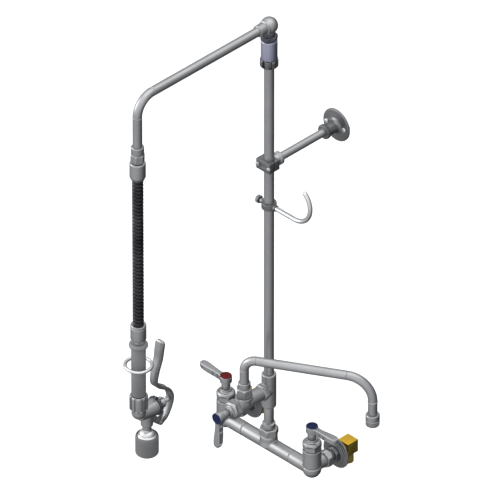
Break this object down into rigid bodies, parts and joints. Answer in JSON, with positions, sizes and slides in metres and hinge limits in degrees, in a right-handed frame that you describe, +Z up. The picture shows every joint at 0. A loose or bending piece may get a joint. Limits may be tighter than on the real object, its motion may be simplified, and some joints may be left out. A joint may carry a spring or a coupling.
{
  "type": "pre rinse faucet",
  "caption": "Wall-mounted kitchen faucet with lever valves, overhead swivel arm, hanging spray valve, swing nozzle, wall bracket and finger hook",
  "frame": {"origin": "midway between the two supply inlets, at the height of the mixing body's cross tube, on the backsplash face the inlet flanges press against", "axes": "+X to the right along the wall as the user faces it, +Y into the wall, +Z up"},
  "size_m": [0.3626, 0.506, 0.8904],
  "materials": {
    "chrome": "polished chrome plate on cast and drawn brass",
    "steel": "bright stainless steel",
    "brass": "raw machined brass",
    "swivel_metal": "satin, slightly blue machined metal",
    "grey_plastic": "moulded grey insulating sleeve and rubber bumper",
    "hose": "dark interlocked flexible steel",
    "hot_index": "dark red moulded",
    "cold_index": "dark blue moulded"
  },
  "bodies": {
    "base": {"mixing_body": "chrome", "hot_bonnet": "chrome", "cold_bonnet": "chrome", "addon_bonnet": "chrome", "hot_coupling_nut": "chrome", "hot_flange_adapter": "chrome", "hot_lock_nut": "brass", "hot_elbow": "brass", "cold_coupling_nut": "chrome", "cold_flange_adapter": "chrome", "cold_lock_nut": "brass", "cold_elbow": "brass", "riser_nut": "chrome", "riser_nipple": "chrome", "addon_body": "chrome", "nozzle_nut": "chrome", "riser_pipe": "chrome", "clamp_front": "chrome", "clamp_rear": "chrome", "clamp_screw_left": "steel", "clamp_screw_right": "steel", "bracket_pipe": "chrome", "wall_flange": "chrome", "wall_screw_left": "steel", "wall_screw_right": "steel", "swivel_lower_nut": "chrome", "swivel_housing": "swivel_metal", "swivel_top_nut": "swivel_metal"},
    "hot_lever": {"hot_spindle": "brass", "hot_handle": "chrome", "hot_index": "hot_index"},
    "cold_lever": {"cold_spindle": "brass", "cold_handle": "chrome", "cold_index": "cold_index"},
    "addon_lever": {"addon_spindle": "brass", "addon_handle": "chrome", "addon_index": "cold_index"},
    "nozzle": {"nozzle_tube": "chrome", "outlet_housing": "chrome", "stream_former": "steel"},
    "hook": {"hook_ring": "chrome", "hook_rod": "steel"},
    "hook_knob": {"thumb_screw": "steel"},
    "arm": {"ball_elbow": "chrome", "arm_tube": "chrome", "hose_adapter": "chrome", "hose_upper_ferrule": "chrome"},
    "hanging": {"hose": "hose", "hose_lower_ferrule": "chrome", "grip": "grey_plastic"},
    "ring": {"hold_ring": "steel"},
    "spray": {"coupling_nut": "chrome", "valve_body": "chrome", "valve_bonnet": "chrome", "lever_pin": "steel", "spray_bell": "chrome", "spray_bumper": "grey_plastic", "spray_face": "steel"},
    "plunger": {"valve_plunger": "steel"},
    "trigger": {"squeeze_lever": "chrome"}
  },
  "joints": [
    {"name": "arm_swivel", "type": "hinge", "parent": "base", "child": "arm", "pos_m": [0, -0.058, 0.8], "axis": [0, 0, 1], "range_deg": [-100, 100]},
    {"name": "hose_swing", "type": "hinge", "parent": "arm", "child": "hanging", "pos_m": [0, -0.3628, 0.69], "axis": [1, 0, 0], "range_deg": [-35, 8], "deforming": ["hose"]},
    {"name": "hold_ring_slide", "type": "slide", "parent": "hanging", "child": "ring", "axis": [0, 0, 1], "range_m": [-0.018, 0.03]},
    {"name": "spray_turn", "type": "hinge", "parent": "hanging", "child": "spray", "pos_m": [0, -0.3628, 0.24], "axis": [0, 0, 1], "range_deg": [-90, 90]},
    {"name": "lever_squeeze", "type": "hinge", "parent": "spray", "child": "trigger", "pos_m": [0, -0.3148, 0.1765], "axis": [1, 0, 0], "range_deg": [0, 5.5], "stiffness_Nm_per_rad": 0.8, "springref_deg": -8.59},
    {"name": "plunger_push", "type": "slide", "parent": "spray", "child": "plunger", "axis": [0, -1, 0], "range_m": [0, 0.0042]},
    {"name": "nozzle_swing", "type": "hinge", "parent": "base", "child": "nozzle", "pos_m": [0, -0.116, 0.16], "axis": [0, 0, 1], "range_deg": [-100, 20]},
    {"name": "hot_valve_turn", "type": "hinge", "parent": "base", "child": "hot_lever", "pos_m": [-0.1016, -0.058, 0.08], "axis": [0, 0, 1], "range_deg": [0, 90]},
    {"name": "cold_valve_turn", "type": "hinge", "parent": "base", "child": "cold_lever", "pos_m": [0.1016, -0.058, 0.08], "axis": [0, 0, 1], "range_deg": [-90, 0]},
    {"name": "addon_valve_turn", "type": "hinge", "parent": "base", "child": "addon_lever", "pos_m": [0, -0.168, 0.1125], "axis": [0, -1, 0], "range_deg": [0, 90]},
    {"name": "hook_height", "type": "slide", "parent": "base", "child": "hook", "axis": [0, 0, 1], "range_m": [-0.25, 0.05]},
    {"name": "hook_knob_turn", "type": "hinge", "parent": "hook", "child": "hook_knob", "pos_m": [-0.02, -0.058, 0.4872], "axis": [1, 0, 0], "range_deg": [-180, 180]}
  ],
  "couplings": [
    {"joint": "plunger_push", "follows": "lever_squeeze", "m_per_rad": 0.0365}
  ]
}
